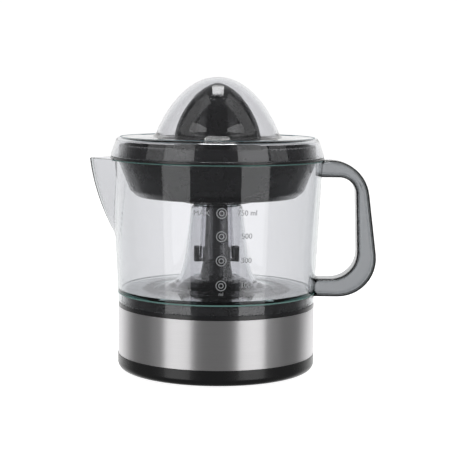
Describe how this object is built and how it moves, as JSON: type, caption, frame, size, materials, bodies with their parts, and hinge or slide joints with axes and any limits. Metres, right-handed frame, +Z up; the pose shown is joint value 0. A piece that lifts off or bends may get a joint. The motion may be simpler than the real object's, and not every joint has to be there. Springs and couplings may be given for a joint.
{
  "type": "citrus press juicer",
  "caption": "Electric citrus juicer: steel and black motor base, clear jug with spout and hollow handle, black pulp bowl and ribbed reaming cone under a clear domed cover.",
  "frame": {"origin": "middle of the footprint's box on the surface that the feet stand on", "axes": "+Z up along the spindle, +X towards the handle, -X towards the spout, +Y towards the cord gland"},
  "size_m": [0.2188, 0.1628, 0.224],
  "materials": {
    "black_satin": "satin moulded",
    "black_gloss": "polished moulded",
    "rubber": "matte",
    "brushed_steel": "brushed round the sleeve",
    "zinc_steel": "zinc plated",
    "laminated_steel": "stacked sheets",
    "copper_wire": "enamelled copper wire",
    "gear_plastic": "natural acetal",
    "bronze": "sintered bronze",
    "clear_plastic": "clear moulded plastic",
    "clear_cover": "clear moulded plastic"
  },
  "bodies": {
    "base": {"bottom_cover": "black_satin", "rubber_feet": "rubber", "cover_screws": "zinc_steel", "steel_sleeve": "brushed_steel", "motor_housing": "black_gloss", "hub_collar": "black_satin", "cord_gland": "rubber", "motor_stator": "laminated_steel", "motor_winding": "copper_wire", "gearbox_housing": "gear_plastic", "gearbox_cover": "gear_plastic", "gearbox_screws": "zinc_steel", "idler_axle": "zinc_steel", "spindle_bush": "bronze", "lever_pin": "zinc_steel", "microswitch": "black_satin"},
    "rotor": {"motor_rotor": "laminated_steel"},
    "idler": {"idler_gear": "gear_plastic"},
    "output": {"output_gear": "gear_plastic"},
    "thrust_slider": {"thrust_ring": "gear_plastic", "return_spring": "zinc_steel"},
    "spindle": {"drive_spindle": "zinc_steel"},
    "lever": {"switch_lever": "gear_plastic"},
    "plunger": {"switch_plunger": "gear_plastic"},
    "jug": {"jug": "clear_plastic", "jug_handle": "clear_plastic"},
    "bowl": {"pulp_bowl": "black_gloss"},
    "strainer": {"strainer_insert": "black_gloss"},
    "press": {"thrust_washer": "gear_plastic"},
    "reamer": {"reamer_shaft": "black_satin", "large_cone": "black_gloss", "small_cone": "black_gloss"},
    "cover": {"dust_cover": "clear_cover"}
  },
  "joints": [
    {"name": "jug_lift", "type": "slide", "parent": "base", "child": "jug", "axis": [0, 0, 1], "range_m": [0, 0.08]},
    {"name": "bowl_lift", "type": "slide", "parent": "jug", "child": "bowl", "axis": [0, 0, 1], "range_m": [0, 0.08]},
    {"name": "strainer_lift", "type": "slide", "parent": "bowl", "child": "strainer", "axis": [0, 0, 1], "range_m": [0, 0.085]},
    {"name": "cover_lift", "type": "slide", "parent": "strainer", "child": "cover", "axis": [0, 0, 1], "range_m": [0, 0.06]},
    {"name": "reamer_press", "type": "slide", "parent": "strainer", "child": "press", "axis": [0, 0, 1], "range_m": [-0.0025, 0], "stiffness_N_per_m": 1500, "springref_m": 0.003},
    {"name": "reamer_spin", "type": "hinge", "parent": "press", "child": "reamer", "pos_m": [-0.01271, 0, 0], "axis": [0, 0, 1], "continuous": true},
    {"name": "spindle_press", "type": "slide", "parent": "base", "child": "thrust_slider", "axis": [0, 0, 1], "range_m": [-0.0025, 0], "deforming": ["return_spring"]},
    {"name": "spindle_spin", "type": "hinge", "parent": "thrust_slider", "child": "spindle", "pos_m": [-0.01271, 0, 0], "axis": [0, 0, 1], "continuous": true},
    {"name": "output_spin", "type": "hinge", "parent": "base", "child": "output", "pos_m": [-0.01271, 0, 0], "axis": [0, 0, 1], "continuous": true},
    {"name": "idler_spin", "type": "hinge", "parent": "base", "child": "idler", "pos_m": [-0.04786, 0, 0], "axis": [0, 0, 1], "continuous": true},
    {"name": "rotor_spin", "type": "hinge", "parent": "base", "child": "rotor", "pos_m": [-0.04786, 0.02715, 0], "axis": [0, 0, 1], "continuous": true},
    {"name": "lever_tilt", "type": "hinge", "parent": "base", "child": "lever", "pos_m": [0.00329, 0, 0.0255], "axis": [0, 1, 0], "range_deg": [-8.5, 0]},
    {"name": "plunger_press", "type": "slide", "parent": "base", "child": "plunger", "axis": [0, 0, 1], "range_m": [-0.001, 0]}
  ],
  "couplings": [
    {"joint": "spindle_press", "follows": "reamer_press", "ratio": 1},
    {"joint": "spindle_spin", "follows": "reamer_spin", "ratio": 1},
    {"joint": "output_spin", "follows": "reamer_spin", "ratio": 1},
    {"joint": "idler_spin", "follows": "reamer_spin", "ratio": -4},
    {"joint": "rotor_spin", "follows": "reamer_spin", "ratio": 14},
    {"joint": "lever_tilt", "follows": "reamer_press", "rad_per_m": 59.282},
    {"joint": "plunger_press", "follows": "reamer_press", "ratio": 0.4}
  ]
}
